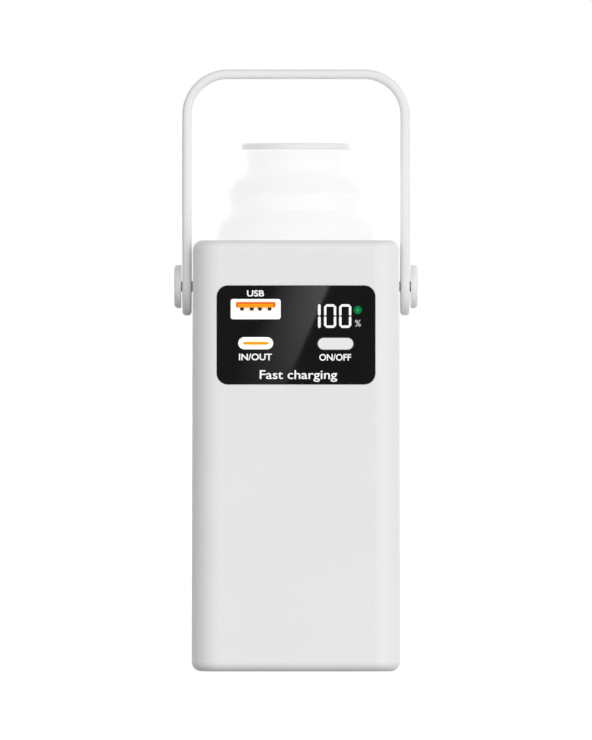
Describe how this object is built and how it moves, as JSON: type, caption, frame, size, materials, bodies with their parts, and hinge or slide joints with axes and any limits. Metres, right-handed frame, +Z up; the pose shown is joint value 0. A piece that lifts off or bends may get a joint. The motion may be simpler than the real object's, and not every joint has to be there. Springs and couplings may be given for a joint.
{
  "type": "power bank",
  "caption": "Upright power bank with a pull-up lantern, carrying handle, two sockets, charge display and two built-in charging cords.",
  "frame": {"origin": "centre of the base, on the surface it stands on", "axes": "+Z up; -Y is the front, with the control panel; +Y is the back, with the two cords; +X is to the right when looking at the front"},
  "size_m": [0.067, 0.056, 0.1654],
  "materials": {
    "housing_plastic": "fine matte moulded plastic, near white",
    "handle_plastic": "smooth satin plastic, near white",
    "panel_gloss": "glossy smoked black panel",
    "cap_plastic": "satin near-white plastic",
    "shade_silicone": "milky translucent silicone, soft satin",
    "cord_tpe": "soft matte near-white jacket",
    "plug_metal": "bright drawn metal",
    "socket_metal": "bright nickel plate",
    "socket_insert": "white moulded insert",
    "socket_orange": "orange moulded tongue",
    "black_plastic": "black moulded plastic",
    "circuit_board": "green solder mask",
    "cell_can": "cell can in a shrink wrap",
    "nickel": "nickel",
    "steel_screw": "plated steel",
    "bush_plastic": "white acetal",
    "led_board": "white-coated aluminium board",
    "led_phosphor": "yellow phosphor gel",
    "wire_red": "insulated wire",
    "wire_black": "insulated wire",
    "wire_white": "sleeved wire"
  },
  "bodies": {
    "root": {"back_shell": "housing_plastic", "battery_lead_negative": "wire_black", "battery_lead_positive": "wire_red", "board_screw_1": "steel_screw", "board_screw_2": "steel_screw", "board_screw_3": "steel_screw", "board_screw_4": "steel_screw", "cell_1": "cell_can", "cell_2": "cell_can", "cell_3": "cell_can", "cell_4": "cell_can", "cell_holder_lower": "black_plastic", "cell_holder_upper": "black_plastic", "contact_strip_lower": "nickel", "contact_strip_upper": "nickel", "cord_anchor_bar": "handle_plastic", "display_module": "black_plastic", "front_panel": "panel_gloss", "front_shell": "housing_plastic", "hub_cap_left": "handle_plastic", "hub_cap_right": "handle_plastic", "lamp_lead_negative": "wire_black", "lamp_lead_positive": "wire_red", "lamp_shade": "shade_silicone", "lamp_well": "cap_plastic", "led_board": "led_board", "led_emitter": "led_phosphor", "main_board": "circuit_board", "phone_cord_lead": "wire_white", "pivot_bush_left": "bush_plastic", "pivot_bush_right": "bush_plastic", "pivot_nut_left": "nickel", "pivot_nut_right": "nickel", "pivot_screw_left": "steel_screw", "pivot_screw_right": "steel_screw", "shade_ring": "bush_plastic", "tact_switch": "black_plastic", "usb_a_insert": "socket_insert", "usb_a_shell": "socket_metal", "usb_a_tongue": "socket_orange", "usb_c_cord_lead": "wire_white", "usb_c_insert": "socket_insert", "usb_c_shell": "socket_metal", "usb_c_tongue": "socket_orange"},
    "handle_body": {"handle": "handle_plastic"},
    "lamp_cap_body": {"lamp_cap": "cap_plastic"},
    "button_body": {"power_button": "cap_plastic", "tact_plunger": "black_plastic"},
    "usb_c_cord_body": {"usb_c_cord": "cord_tpe", "usb_c_collar": "cord_tpe", "usb_c_plug": "cord_tpe", "usb_c_nose": "cord_tpe", "usb_c_tip": "plug_metal"},
    "phone_cord_body": {"phone_cord": "cord_tpe", "phone_collar": "cord_tpe", "phone_plug": "cord_tpe", "phone_nose": "cord_tpe", "phone_tip": "plug_metal"}
  },
  "joints": [
    {"name": "handle_swing", "type": "hinge", "parent": "root", "child": "handle_body", "pos_m": [0, 0, 0.1057], "axis": [1, 0, 0], "range_deg": [-143, 143]},
    {"name": "lamp_slide", "type": "slide", "parent": "root", "child": "lamp_cap_body", "axis": [0, 0, 1], "range_m": [-0.0243, 0], "deforming": ["lamp_shade"]},
    {"name": "button_press", "type": "slide", "parent": "root", "child": "button_body", "axis": [0, 1, 0], "range_m": [0, 0.0004], "stiffness_N_per_m": 1500},
    {"name": "usb_c_cord_bend", "type": "hinge", "parent": "root", "child": "usb_c_cord_body", "pos_m": [-0.00895, 0.0255, 0.0936], "axis": [1, 0, 0], "range_deg": [0, 90]},
    {"name": "phone_cord_bend", "type": "hinge", "parent": "root", "child": "phone_cord_body", "pos_m": [0.00895, 0.0255, 0.0936], "axis": [1, 0, 0], "range_deg": [0, 90]}
  ]
}
